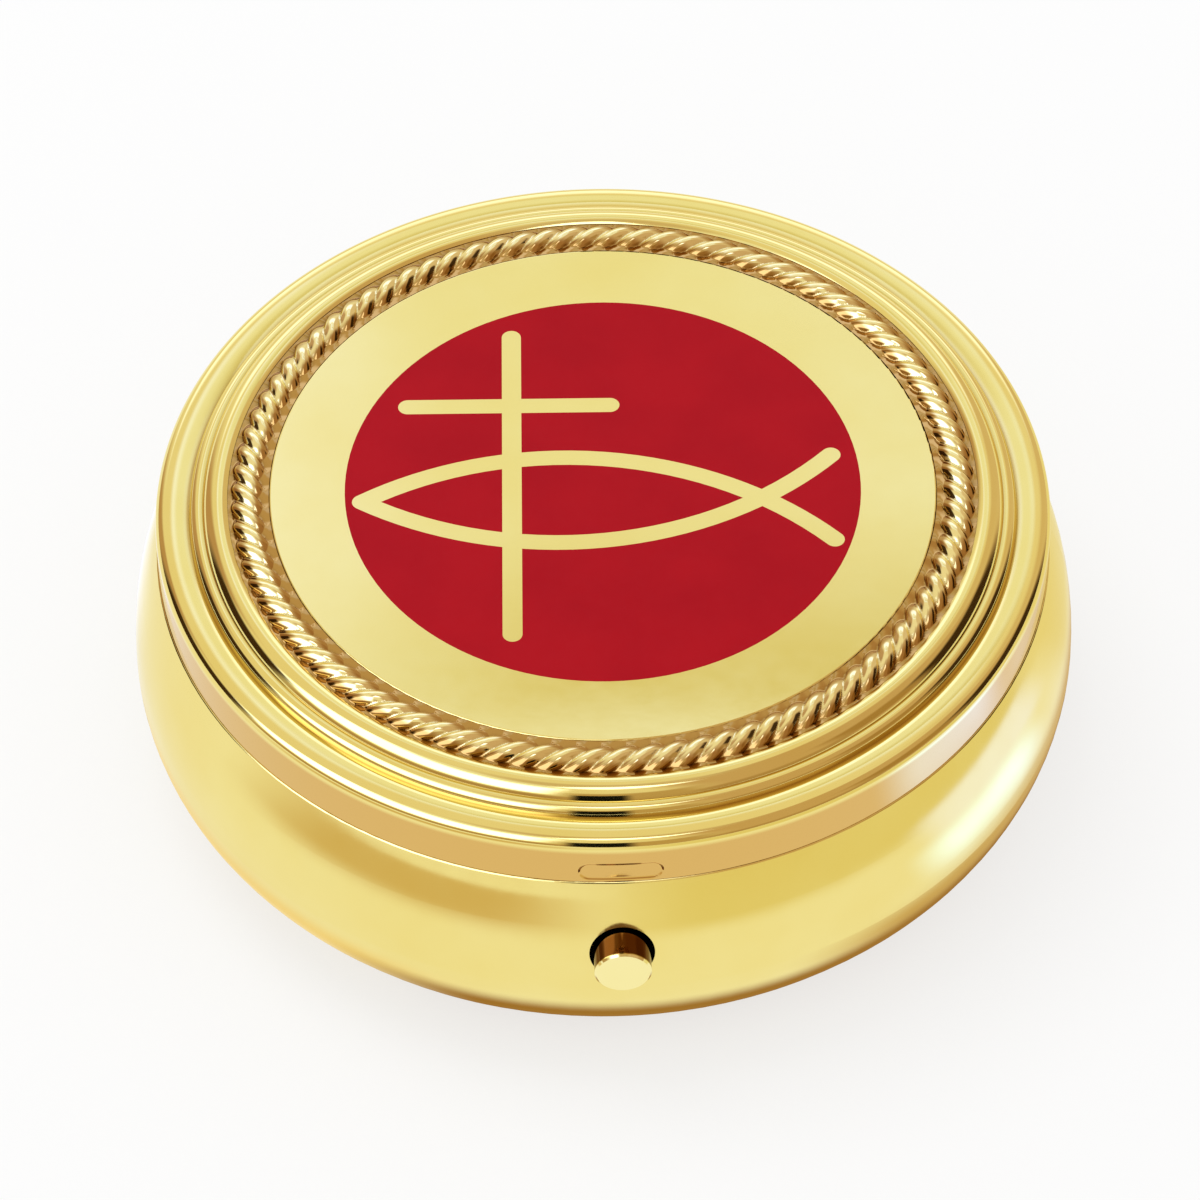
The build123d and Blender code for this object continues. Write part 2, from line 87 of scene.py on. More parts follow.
# Painted dark reflection on the button's shank
BUTTON_SHANK_DARK_REFLECTION = (0.13, 0.045, 0.008, 1)
STEEL_LIGHT = (0.58, 0.58, 0.60, 1)
STEEL_DARK = (0.40, 0.40, 0.43, 1)
ENAMEL_RED = (0.42, 0.004, 0.011, 1)
ENAMEL_DEEP = (0.385, 0.003, 0.010, 1)
FLOOR_WHITE = (0.92, 0.92, 0.92, 1)
FLAG_BLACK = (0.01, 0.01, 0.01, 1)

# Finishes: the least and the greatest roughness of each surface
MIRROR_ROUGHNESS = (0.05, 0.09)
POLISHED_ROUGHNESS = (0.06, 0.1)
SATIN_ROUGHNESS = (0.07, 0.11)
BOWL_ROUGHNESS = (0.09, 0.13)
INSIDE_ROUGHNESS = (0.2, 0.24)
ENAMEL_ROUGHNESS = (0.16, 0.24)
STEEL_ROUGHNESS = (0.22, 0.36)
FLOOR_ROUGHNESS = 0.9
ENAMEL_SPECULAR = 0.06

# Noise of the finishes: features per metre and detail, and the values between which the noise counts
CLOUDS = (160, 4)
RUBBING = (900, 6)
MOTTLE = (220, 5)
GRAIN = (1800, 3)
DRAWN_LINES = (700, 5)
DRAWN_STRETCH = (1, 1, 6)
NOISE_RANGE = (0.3, 0.7)
MOTTLE_RANGE = (0.35, 0.65)

# Relief of the finishes: its height in metres and its strength
GILT_RELIEF = (0.00002, 0.08)
ENAMEL_RELIEF = (0.00002, 0.1)
STEEL_RELIEF = (0.00001, 0.2)

# Painted shade in crevices: how near another surface has to be in millimetres, the openness at which the
# painted shade is thickest and at which it ends, and its greatest cover
CREVICE = 0.6
ROPE_CREVICE = 0.4
CREVICE_SHADE_OPENNESS = (0.3, 0.8)
LID_SHADE_OPENNESS = (0.4, 0.85)
CREVICE_SHADE_COVER = 0.85
OCCLUSION_SAMPLES = 8

# Where reflection or shade is painted into the gilt, in millimetres: heights and distances of the tan
# reflection painted on the lid's skirt, distances from the rope's middle of the shade painted on its two
# flanks, and the blend behind the button's end into the dark reflection painted on its shank
SKIRT_REFLECTION_Z = (15.6, 15.95)
SKIRT_REFLECTION_OUT = (23.5, 23.6)
INNER_FLANK_SHADE = (-0.55, -0.2)
OUTER_FLANK_SHADE = (0.3, 0.65)
SHANK_BLEND = 0.08

# Studio. Each panel of the tent has its bearings, 0 towards the camera and negative to its left,
# its heights, the softness of its edges, all in degrees, and its colour.
WORLD_LIGHT = 0.85
LAMP_PLACE = Vector((-0.25, 0.2, 0.8))
LAMP_SIZE = 0.5
LAMP_POWER = 1.6
TENT_WALL = (0.88, 0.80, 0.62, 1)
TENT_PANELS = (
    (22, 130, -10, 95, 10, (0.62, 0.43, 0.27, 1)),
    (128, 158, -10, 58, 8, (0.72, 0.56, 0.38, 1)),
    (158, 206, 19, 37, 4, (1.3, 1.4, 1.9, 1)),
    (-142, -118, -10, 44, 7, (0.52, 0.33, 0.20, 1)),
    (-96, -14, 58, 76, 5, (0.95, 0.95, 0.95, 1)),
    (-94, -15, 24, 64, 5, (2.4, 2.6, 3.6, 1)),
    (-200, 200, 78, 95, 5, (0.68, 0.54, 0.40, 1)),
    (-25, 45, 73, 87, 4, (2.2, 2.4, 3.2, 1)),
    (-84, 62, -10, 16, 5, (0.48, 0.31, 0.16, 1)),
    (-122, -86, -10, 32, 5, (0.05, 0.025, 0.01, 1)),
    (84, 122, -10, 35, 6, (0.05, 0.025, 0.01, 1)),
    (60, 86, 8, 42, 6, (0.42, 0.25, 0.10, 1)),
    (-10, 24, -10, 42, 5, (0.55, 0.38, 0.20, 1)),
)

# What the metal mirrors of the floor. Each patch has its bearings and their softness in degrees,
# its distances from the middle and their softness in millimetres, and its colour.
FLOOR_PALE = (0.98, 0.97, 0.92, 1)
FLOOR_PATCHES = (
    (-140, -104, 8, 0, 35, 4, (1.1, 1.15, 1.4, 1)),
    (-64, -8, 14, 49, 105, 8, (0.72, 0.55, 0.31, 1)),
    (4, 96, 14, 48, 400, 5, (0.85, 0.77, 0.47, 1)),
    (94, 150, 6, 29, 400, 4, (0.90, 0.82, 0.52, 1)),
    (57, 88, 5, 38, 52, 3, (1.04, 1.12, 1.8, 1)),
    (54, 80, 6, 31, 38, 3, (1.15, 1.5, 2.8, 1)),
    # The last four patches, out to 29 mm from the middle, are the object's shadow and the warm light bounced
    # off its gold, painted on the floor.
    (35, 110, 12, 0, 29, 2, (0.66, 0.47, 0.24, 1)),
    (-90, -25, 12, 0, 27, 2, (0.98, 0.80, 0.45, 1)),
    (-30, 100, 14, 0, 25.7, 1.5, (0.38, 0.20, 0.05, 1)),
    (-200, 200, 1, 0, 19, 3, (0.62, 0.44, 0.20, 1)),
)
FLOOR_GLOW = 0.7
FLOOR_HALF = 1.5
FLOOR_DROP = 0.05

# Card over the object, seen only in the metal: its size and place, its bright and dull colours,
# and the stretches of it in millimetres over which each colour comes in
CARD_HEIGHT = 117.45
CARD_HALF = 42.0
CARD_FADE = 8.0
CARD_MIDDLE = (3.0, 93.0)
CARD_PLAIN = (0.95, 0.97, 0.95, 1)
CARD_LEFT = (1.04, 1.12, 1.55, 1)
CARD_RIGHT = (0.97, 1.02, 1.18, 1)
CARD_DULL = (0.76, 0.70, 0.44, 1)
CARD_EDGE = (0.98, 1.04, 1.28, 1)
CARD_LEFT_X = (-24, -6)
CARD_RIGHT_X = (12, 27)
CARD_DULL_X = (-24, 4)
CARD_DULL_Y = (69, 92)
CARD_EDGE_Y = (69, 71.5)

# Black flag before the lid, seen only in the metal: its sides and their fade, its distance, its heights
FLAG_X = (-4.6, 1.8)
FLAG_FADE = 0.7
FLAG_Y = -30.0
FLAG_Z = (16.4, 22.0)

# Lid section
LID_RADIUS = 23.85
SKIRT_INNER = 23.25
SKIRT_Z = 13.48
LID_UNDER_Z = 15.95
GROOVE_Z = 16.65
ROPE_OUTER = 19.96
MOULDING_OUTER = 21.15
MOULDING_Z = 17.29
MOULDING_CROWN = 0.16
MOULDING_ROUND = 0.9
LEDGE_INNER = 21.32
LEDGE_OUTER = 21.86
LEDGE_Z = 16.87
LEDGE_CROWN = 0.03
LEDGE_ROUND = 0.5
RIM_INNER = 22.06
RIM_Z = 16.38
RIM_CROWN = 0.15
RIM_ROUND = 0.6
NOTCH_HALF = 5.7
NOTCH_TOP = 15.2
STAMP_LENGTH = 4.3
STAMP_WIDTH = 1.15
STAMP_Z = 14.23
STAMP_DEPTH = 0.08
STAMP_BEVEL = 0.12

# Steps of the lid's mesh
CROWN_STEPS = 14
ROUND_STEPS = 12
SKIRT_ROW = 0.06
SKIRT_TOLERANCE = 0.001
STAMP_SECTOR = 7.0
FINE_STEP = 0.1
COARSE_STEP = 1.0

# Angles in degrees above which an edge of a mesh stays sharp, and the distance at which points are merged
LID_SHARP = 40
ROPE_SHARP = 70
COIL_SHARP = 50
STRIP_SHARP = 30
MERGE_DISTANCE = 0.0005

# Rope border
ROPE_MIDDLE = 18.88
ROPE_HALF_WIDTH = 1.06
ROPE_TOP = 17.75
ROPE_RISE = 1.05
ROPE_LOBES = 88
ROPE_STRANDS = 4
STRAND_RADIUS = 0.54
ROPE_BED_Z = (17.41, 17.25)
ROPE_BED_REACH = (1.125, 1.07)
ROPE_BED_RELIEF = 0.1
ROPE_VISIBLE = 66
ROPE_ROWS = 36
LOBE_STEPS = 16

# Push button: how far forward its shank reaches, up to the bevel of its end
BUTTON_END = -26.38

# Hinge and coiled spring
HINGE_Y = 24.4
HINGE_Z = 13.45
COIL_RADIUS = 0.75
COIL_PITCH = 1.0
COIL_TURNS = 2.5
COIL_STEPS = 36
WIRE_RADIUS = 0.2
WIRE_SIDES = 14
SPRING_LEG = 1.6

# Catch strip
STRIP_INNER = 21.497
STRIP_OUTER = 21.847
STRIP_BOTTOM = 10.45
STRIP_TOP = 12.15
STRIP_SWEEP = 56.0
PAD_HALF = 2.3
PAD_BOTTOM = 7.77
TONGUE_HALF = 1.7
HOOK_Z = 14.25
HOOK_TOP = 14.6
HOOK_TIP = 0.1
HOOK_REACH = 22.597
ARM_STEP = 2
PAD_STEP = 1


def new_material(name):
    """Empty node material with its Principled shader and the object's own coordinates."""
    material = bpy.data.materials.new(name)
    material.use_nodes = True
    nodes = material.node_tree.nodes
    nodes.clear()
    output = nodes.new("ShaderNodeOutputMaterial")
    shader = nodes.new("ShaderNodeBsdfPrincipled")
    coordinates = nodes.new("ShaderNodeTexCoord")
    material.node_tree.links.new(shader.outputs["BSDF"], output.inputs["Surface"])
    return material, nodes, material.node_tree.links, shader, coordinates.outputs["Object"]


def noise(nodes, links, vector, scale, detail, stretch=(1, 1, 1)):
    """Noise value at a scale in features per metre, with the axes stretched."""
    mapping = nodes.new("ShaderNodeMapping")
    mapping.inputs["Scale"].default_value = stretch
    links.new(vector, mapping.inputs["Vector"])
    texture = nodes.new("ShaderNodeTexNoise")
    texture.inputs["Scale"].default_value = scale
    texture.inputs["Detail"].default_value = detail
    links.new(mapping.outputs["Vector"], texture.inputs["Vector"])
    return texture.outputs["Fac"]


def ramp(nodes, links, value, low, high, first, last):
    """Colour that runs from first to last while value runs from low to high."""
    colours = nodes.new("ShaderNodeValToRGB")
    colours.color_ramp.elements[0].position = low
    colours.color_ramp.elements[0].color = first
    colours.color_ramp.elements[1].position = high
    colours.color_ramp.elements[1].color = last
    links.new(value, colours.inputs["Fac"])
    return colours.outputs["Color"]


def remap(nodes, links, value, low, high, first, last, curve="LINEAR"):
    """Number that runs from first to last while value runs from low to high."""
    node = nodes.new("ShaderNodeMapRange")
    node.interpolation_type = curve
    for name, number in zip(("From Min", "From Max", "To Min", "To Max"), (low, high, first, last)):
        node.inputs[name].default_value = number
    links.new(value, node.inputs["Value"])
    return node.outputs["Result"]


def step_up(nodes, links, value, low, high):
    """0 below low and 1 above high, both in millimetres, with a smooth step between."""
    return remap(nodes, links, value, low * MM, high * MM, 0.0, 1.0, "SMOOTHSTEP")


def step_down(nodes, links, value, low, high):
    """1 below low and 0 above high, both in millimetres, with a smooth step between."""
    return remap(nodes, links, value, low * MM, high * MM, 1.0, 0.0, "SMOOTHSTEP")


def bump(nodes, links, shader, height, distance, strength):
    """Fine relief of a height map on the shader's normal."""
    node = nodes.new("ShaderNodeBump")
    node.inputs["Distance"].default_value = distance
    node.inputs["Strength"].default_value = strength
    links.new(height, node.inputs["Height"])
    links.new(node.outputs["Normal"], shader.inputs["Normal"])


def gilt_material(
    name,
    roughness,
    crevice=CREVICE,
    shade_openness=CREVICE_SHADE_OPENNESS,
    crevice_shade=GOLD_CREVICE_SHADE,
    mask=None,
    tone=None,
    gold=(GOLD_DEEP, GOLD_PALE),
):
    """Polished gilt brass: a little uneven in tone, hazed by fine rubbing, with shade painted into its
    crevices.

    The crevice is how near, in millimetres, another surface has to be, and shade_openness the openness at
    which the painted shade is thickest and at which it ends. A mask marks where reflection or shade is
    painted in another tone.
    """
    material, nodes, links, shader, place = new_material(name)
    shader.inputs["Metallic"].default_value = 1.0
    clouds = noise(nodes, links, place, *CLOUDS)
    finish = ramp(nodes, links, clouds, *NOISE_RANGE, *gold)
    if mask:
        finish = overlay(nodes, links, finish, mask(nodes, links, place), tone)
    occlusion = nodes.new("ShaderNodeAmbientOcclusion")
    occlusion.samples = OCCLUSION_SAMPLES
    occlusion.inputs["Distance"].default_value = crevice * MM
    # Painted shade: the gilt turns darker where ambient occlusion finds a near surface.
    crevice_shading = remap(nodes, links, occlusion.outputs["AO"], *shade_openness, CREVICE_SHADE_COVER, 0.0)
    finish = overlay(nodes, links, finish, crevice_shading, crevice_shade)
    links.new(finish, shader.inputs["Base Color"])
    rubbing = noise(nodes, links, place, *RUBBING)
    links.new(remap(nodes, links, rubbing, *NOISE_RANGE, *roughness), shader.inputs["Roughness"])
    bump(nodes, links, shader, rubbing, *GILT_RELIEF)
    return material


def from_axis(nodes, links, place):
    """Distance from the upright middle axis."""
    flat = nodes.new("ShaderNodeVectorMath")
    flat.operation = "MULTIPLY"
    flat.inputs[1].default_value = (1, 1, 0)
    links.new(place, flat.inputs[0])
    length = nodes.new("ShaderNodeVectorMath")
    length.operation = "LENGTH"
    links.new(flat.outputs["Vector"], length.inputs[0])
    return length.outputs["Value"]


def skirt_reflection_mask(nodes, links, place):
    """1 on the lid's upright skirt, below its rounded rim, where a tan reflection is painted."""
    parts = nodes.new("ShaderNodeSeparateXYZ")
    links.new(place, parts.inputs[0])
    below = step_down(nodes, links, parts.outputs["Z"], *SKIRT_REFLECTION_Z)
    outside = step_up(nodes, links, from_axis(nodes, links, place), *SKIRT_REFLECTION_OUT)
    return multiply(nodes, links, below, outside)


def flank_shade_mask(nodes, links, place):
    """1 on both flanks of the rope, where a darker shade is painted."""
    out = from_axis(nodes, links, place)
    inner = step_down(nodes, links, out, *(ROPE_MIDDLE + reach for reach in INNER_FLANK_SHADE))
    outer = step_up(nodes, links, out, *(ROPE_MIDDLE + reach for reach in OUTER_FLANK_SHADE))
    return larger(nodes, links, inner, outer)


def shank_reflection_mask(nodes, links, place):
    """1 on the button's shank, behind its end face, where a dark reflection is painted."""
    parts = nodes.new("ShaderNodeSeparateXYZ")
    links.new(place, parts.inputs[0])
    behind = BUTTON_END + SHANK_BLEND
    return remap(nodes, links, parts.outputs["Y"], BUTTON_END * MM, behind * MM, 0.0, 1.0)


def enamel_material(name):
    """Red enamel: faintly mottled, with a smooth fired surface."""
    material, nodes, links, shader, place = new_material(name)
    mottle = noise(nodes, links, place, *MOTTLE)
    red = ramp(nodes, links, mottle, *MOTTLE_RANGE, ENAMEL_DEEP, ENAMEL_RED)
    links.new(red, shader.inputs["Base Color"])
    grain = noise(nodes, links, place, *GRAIN)
    links.new(remap(nodes, links, grain, *NOISE_RANGE, *ENAMEL_ROUGHNESS), shader.inputs["Roughness"])
    shader.inputs["Specular IOR Level"].default_value = ENAMEL_SPECULAR
    bump(nodes, links, shader, mottle, *ENAMEL_RELIEF)
    return material


def steel_material(name):
    """Bright spring steel with drawn lines."""
    material, nodes, links, shader, place = new_material(name)
    shader.inputs["Metallic"].default_value = 1.0
    drawn = noise(nodes, links, place, *DRAWN_LINES, DRAWN_STRETCH)
    grey = ramp(nodes, links, drawn, *NOISE_RANGE, STEEL_DARK, STEEL_LIGHT)
    links.new(grey, shader.inputs["Base Color"])
    links.new(remap(nodes, links, drawn, *NOISE_RANGE, *STEEL_ROUGHNESS), shader.inputs["Roughness"])
    bump(nodes, links, shader, drawn, *STEEL_RELIEF)
    return material


def dress(material, *names):
    """Puts a material on CAD nodes."""
    for name in names:
        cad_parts[name].material_slots[0].material = material


def soft_band(nodes, links, value, low, high, soft):
    """1 while value lies between low and high, with soft edges."""
    after = remap(nodes, links, value, low - soft, low + soft, 0.0, 1.0, "SMOOTHSTEP")
    before = remap(nodes, links, value, high - soft, high + soft, 1.0, 0.0, "SMOOTHSTEP")
    return multiply(nodes, links, after, before)


def multiply(nodes, links, first, second):
    """Product of two values."""
    node = nodes.new("ShaderNodeMath")
    node.operation = "MULTIPLY"
    links.new(first, node.inputs[0])
    links.new(second, node.inputs[1])
    return node.outputs[0]


def larger(nodes, links, first, second):
    """The larger of two values."""
    node = nodes.new("ShaderNodeMath")
    node.operation = "MAXIMUM"
    links.new(first, node.inputs[0])
    links.new(second, node.inputs[1])
    return node.outputs[0]


def bearing(nodes, links, vector):
    """Bearing of a direction round the object in degrees: 0 towards the camera, negative to its left."""
    turn = nodes.new("ShaderNodeVectorRotate")
    turn.rotation_type = "Z_AXIS"
    turn.inputs["Angle"].default_value = math.radians(-90 - CAMERA_AZIMUTH)
    links.new(vector, turn.inputs["Vector"])
    parts = nodes.new("ShaderNodeSeparateXYZ")
    links.new(turn.outputs["Vector"], parts.inputs[0])
    forward = nodes.new("ShaderNodeMath")
    forward.operation = "MULTIPLY"
    forward.inputs[1].default_value = -1.0
    links.new(parts.outputs["Y"], forward.inputs[0])
    arc = nodes.new("ShaderNodeMath")
    arc.operation = "ARCTAN2"
    links.new(parts.outputs["X"], arc.inputs[0])
    links.new(forward.outputs[0], arc.inputs[1])
    return in_degrees(nodes, links, arc.outputs[0]), parts.outputs["Z"]


def in_degrees(nodes, links, value):
    """Radians as degrees."""
    node = nodes.new("ShaderNodeMath")
    node.operation = "DEGREES"
    links.new(value, node.inputs[0])
    return node.outputs[0]


def overlay(nodes, links, below, mask, colour):
    """Colour laid over what is below it, a colour or a socket, where the mask is 1."""
    mix = nodes.new("ShaderNodeMix")
    mix.data_type = "RGBA"
    links.new(mask, mix.inputs["Factor"])
    if isinstance(below, tuple):
        mix.inputs["A"].default_value = below
    else:
        links.new(below, mix.inputs["A"])
    mix.inputs["B"].default_value = colour
    return mix.outputs["Result"]


def new_piece(name, body, mesh, material, *nodes):
    """Object of a finished mesh that rides on a body and stands for CAD nodes."""
    piece = place_piece(name, mesh, material, *nodes)
    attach(piece, body)
    return piece


def place_piece(name, mesh, material, *nodes):
    """Object of a finished mesh that stands for CAD nodes."""
    mesh.materials.append(material)
    mesh.update()
    piece = bpy.data.objects.new(name, mesh)
    bpy.context.scene.collection.objects.link(piece)
    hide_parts(*nodes)
    return piece


def smooth_mesh(name, points, faces, sharp_angle):
    """Mesh of points in millimetres, smooth except over edges sharper than the angle."""
    mesh = bpy.data.meshes.new(name)
    mesh.from_pydata([tuple(c * MM for c in p) for p in points], [], faces)
    cleaner = bmesh.new()
    cleaner.from_mesh(mesh)
    bmesh.ops.remove_doubles(cleaner, verts=cleaner.verts, dist=MERGE_DISTANCE * MM)
    bmesh.ops.recalc_face_normals(cleaner, faces=cleaner.faces)
    cleaner.to_mesh(mesh)
    cleaner.free()
    mesh.shade_smooth()
    mesh.set_sharp_from_angle(angle=math.radians(sharp_angle))
    return mesh


def arc_points(centre, radius, first, last, steps):
    """Points of an arc between two angles."""
    turns = [first + (last - first) * step / steps for step in range(steps + 1)]
    return [centre + Vector((math.cos(turn), math.sin(turn))) * radius for turn in turns]


def bead(inner, outer, crown, foot, rounding):
    """Section of a bead: a low arc from inner to outer, rounded into the straight fall to the foot."""
    inner, outer = Vector(inner), Vector(outer)
    half = (outer - inner).length / 2
    radius = (half**2 + crown**2) / (2 * crown)
    centre = (inner + outer) / 2 + Vector((0, crown - radius))
    fall = (Vector(foot) - outer).normalized()
    inward = Vector((fall.y, -fall.x))
    start = outer + inward * rounding - centre
    along = start.dot(fall)
    drop = -along - math.sqrt(along**2 - start.length_squared + (radius - rounding) ** 2)
    to_middle = start + fall * drop
    first = math.atan2(inner.y - centre.y, inner.x - centre.x)
    turn = math.atan2(to_middle.y, to_middle.x)
    last = math.atan2(-inward.y, -inward.x)
    over = arc_points(centre, radius, first, turn, CROWN_STEPS)
    return over[:-1] + arc_points(centre + to_middle, rounding, turn, last, ROUND_STEPS)


def lid_outline():
    """Section of the lid from the skirt's inner foot over the seat and the beads to its outer foot."""
    valley, step = (LEDGE_INNER, LEDGE_Z), (RIM_INNER, RIM_Z)
    groove_side, moulding_side = (ROPE_OUTER, MOULDING_Z), (MOULDING_OUTER, MOULDING_Z)
    rim_side, skirt_foot = (LID_RADIUS, RIM_Z), (LID_RADIUS, SKIRT_Z)
    outline = [
        Vector((SKIRT_INNER, SKIRT_Z)),
        Vector((SKIRT_INNER, NOTCH_TOP)),
        Vector((SKIRT_INNER, LID_UNDER_Z)),
        Vector((0, LID_UNDER_Z)),
        Vector((0, GROOVE_Z)),
        Vector((ROPE_OUTER, GROOVE_Z)),
    ]
    outline += bead(groove_side, moulding_side, MOULDING_CROWN, valley, MOULDING_ROUND)
    outline += bead(valley, (LEDGE_OUTER, LEDGE_Z), LEDGE_CROWN, step, LEDGE_ROUND)
    outline += bead(step, rim_side, RIM_CROWN, skirt_foot, RIM_ROUND)
    skirt_top = outline[-1].y
    rows = round((skirt_top - SKIRT_Z) / SKIRT_ROW)
    for row in range(1, rows + 1):
        outline.append(Vector((LID_RADIUS, skirt_top - (skirt_top - SKIRT_Z) * row / rows)))
    return outline


def spaced(first, last, step):
    """Even values from first up to, and without, last, about a step apart."""
    count = round((last - first) / step)
    return [first + (last - first) * index / count for index in range(count)]


def stamp_depth(across, up):
    """How deep the blank stamp is pressed in at a place on the skirt."""
    straight = (STAMP_LENGTH - STAMP_WIDTH) / 2
    from_middle = math.hypot(max(abs(across) - straight, 0), up - STAMP_Z)
    inside = (STAMP_WIDTH / 2 - from_middle) / STAMP_BEVEL + 0.5
    inside = min(max(inside, 0), 1)
    return STAMP_DEPTH * inside * inside * (3 - 2 * inside)


def make_lid():
    """Turned lid with its steps, a blank stamp in front and the hinge's notch behind."""
    outline = lid_outline()
    count = len(outline)
    on_inner = min(range(count), key=lambda i: (outline[i] - Vector((SKIRT_INNER, NOTCH_TOP))).length)
    on_outer = min(range(count), key=lambda i: (outline[i] - Vector((LID_RADIUS, NOTCH_TOP))).length)
    notch = 180 - math.degrees(math.asin(NOTCH_HALF / LID_RADIUS))
    angles = spaced(-notch, -STAMP_SECTOR, COARSE_STEP) + spaced(-STAMP_SECTOR, STAMP_SECTOR, FINE_STEP)
    angles += spaced(STAMP_SECTOR, notch, COARSE_STEP)
    open_columns = len(angles)
    angles += spaced(notch, 360 - notch, COARSE_STEP)
    points = []
    for angle in angles:
        turn = math.radians(FRONT + angle)
        across = LID_RADIUS * math.sin(math.radians(angle))
        for out, up in outline:
            on_skirt = out > LID_RADIUS - SKIRT_TOLERANCE and abs(angle) < STAMP_SECTOR
            reach = out - stamp_depth(across, up) if on_skirt else out
            points.append((reach * math.cos(turn), reach * math.sin(turn), up))
    faces = []
    rim_rows = [row for row in range(count) if on_inner <= row < on_outer]
    for column in range(len(angles)):
        here, there = column * count, (column + 1) % len(angles) * count
        rows = range(count) if column < open_columns else rim_rows
        for row in rows:
            above = (row + 1) % count
            faces.append((here + row, there + row, there + above, here + above))
        if column >= open_columns:
            faces.append((here + on_outer, there + on_outer, there + on_inner, here + on_inner))
    foot = list(range(on_outer, count)) + list(range(on_inner + 1))
    for column in (0, open_columns):
        faces.append(tuple(column * count + row for row in foot))
    return smooth_mesh("lid", points, faces, LID_SHARP)


def strand_reach(turn):
    """Distance from the rope's middle to its strands at an angle, as a share of the rope's radius."""
    share = 2 * math.pi / ROPE_STRANDS
    off = (turn + share / 2) % share - share / 2
    offset, strand = 1 - STRAND_RADIUS, STRAND_RADIUS
    return offset * math.cos(off) + math.sqrt(strand**2 - (offset * math.sin(off)) ** 2)


def make_rope():
    """Ring of twisted rope on a bed that fills the groove."""
    columns = ROPE_LOBES * LOBE_STEPS
    twist = ROPE_LOBES / ROPE_STRANDS
    inner_bed, outer_bed = ROPE_BED_Z
    inner_reach, outer_reach = ROPE_BED_REACH
    inner_side = [(-inner_reach, GROOVE_Z), (-inner_reach, inner_bed)]
    outer_side = [(outer_reach, outer_bed), (outer_reach, GROOVE_Z)]
    deepest = 1 - strand_reach(math.pi / ROPE_STRANDS)
    points, faces = [], []
    rows = len(inner_side) + ROPE_ROWS + 1 + len(outer_side)
    for column in range(columns):
        round_ring = 2 * math.pi * column / columns
        section = list(inner_side)
        for row in range(ROPE_ROWS + 1):
            lean = math.radians(ROPE_VISIBLE) * (2 * row / ROPE_ROWS - 1)
            reach = strand_reach(lean + twist * round_ring)
            up = ROPE_TOP + ROPE_RISE * (reach * math.cos(lean) - 1)
            bed = (inner_bed if lean < 0 else outer_bed) - ROPE_BED_RELIEF * (1 - reach) / deepest
            section.append((ROPE_HALF_WIDTH * reach * math.sin(lean), max(up, bed)))
        section += outer_side
        for across, up in section:
            out = ROPE_MIDDLE + across
            points.append((out * math.cos(round_ring), out * math.sin(round_ring), up))
    for column in range(columns):
        here, there = column * rows, (column + 1) % columns * rows
        for row in range(rows):
            above = (row + 1) % rows
            faces.append((here + row, there + row, there + above, here + above))
    return smooth_mesh("rope", points, faces, ROPE_SHARP)


def make_coil():
    """Tube of the lid's spring: a leg, the coil round the pin and the other leg."""
    path = []
    sweep = 2 * math.pi * COIL_TURNS
    steps = round(COIL_TURNS * COIL_STEPS)

    def point(turn):
        across = COIL_PITCH * (turn - sweep / 2) / (2 * math.pi)
        back, up = COIL_RADIUS * math.sin(turn), -COIL_RADIUS * math.cos(turn)
        return Vector((across, HINGE_Y + back, HINGE_Z + up))

    def heading(turn):
        lead = COIL_PITCH / (2 * math.pi)
        return Vector((lead, COIL_RADIUS * math.cos(turn), COIL_RADIUS * math.sin(turn))).normalized()

    path.append(point(0) - heading(0) * SPRING_LEG)
    path += [point(sweep * step / steps) for step in range(steps + 1)]
    path.append(point(sweep) + heading(sweep) * SPRING_LEG)
    points, faces = [], []
    for index, here in enumerate(path):
        along = (path[min(index + 1, len(path) - 1)] - path[max(index - 1, 0)]).normalized()
        from_pin = Vector((0, here.y - HINGE_Y, here.z - HINGE_Z))
        side = (from_pin - along * from_pin.dot(along)).normalized()
        other = along.cross(side)
        for step in range(WIRE_SIDES):
            turn = 2 * math.pi * step / WIRE_SIDES
            points.append(here + (side * math.cos(turn) + other * math.sin(turn)) * WIRE_RADIUS)
    for index in range(len(path) - 1):
        for step in range(WIRE_SIDES):
            on = (step + 1) % WIRE_SIDES
            here, there = index * WIRE_SIDES, (index + 1) * WIRE_SIDES
            faces.append((here + step, here + on, there + on, there + step))
    last = (len(path) - 1) * WIRE_SIDES
    faces.append(tuple(range(WIRE_SIDES)))
    faces.append(tuple(last + step for step in range(WIRE_SIDES)))
    return smooth_mesh("coil", points, faces, COIL_SHARP)


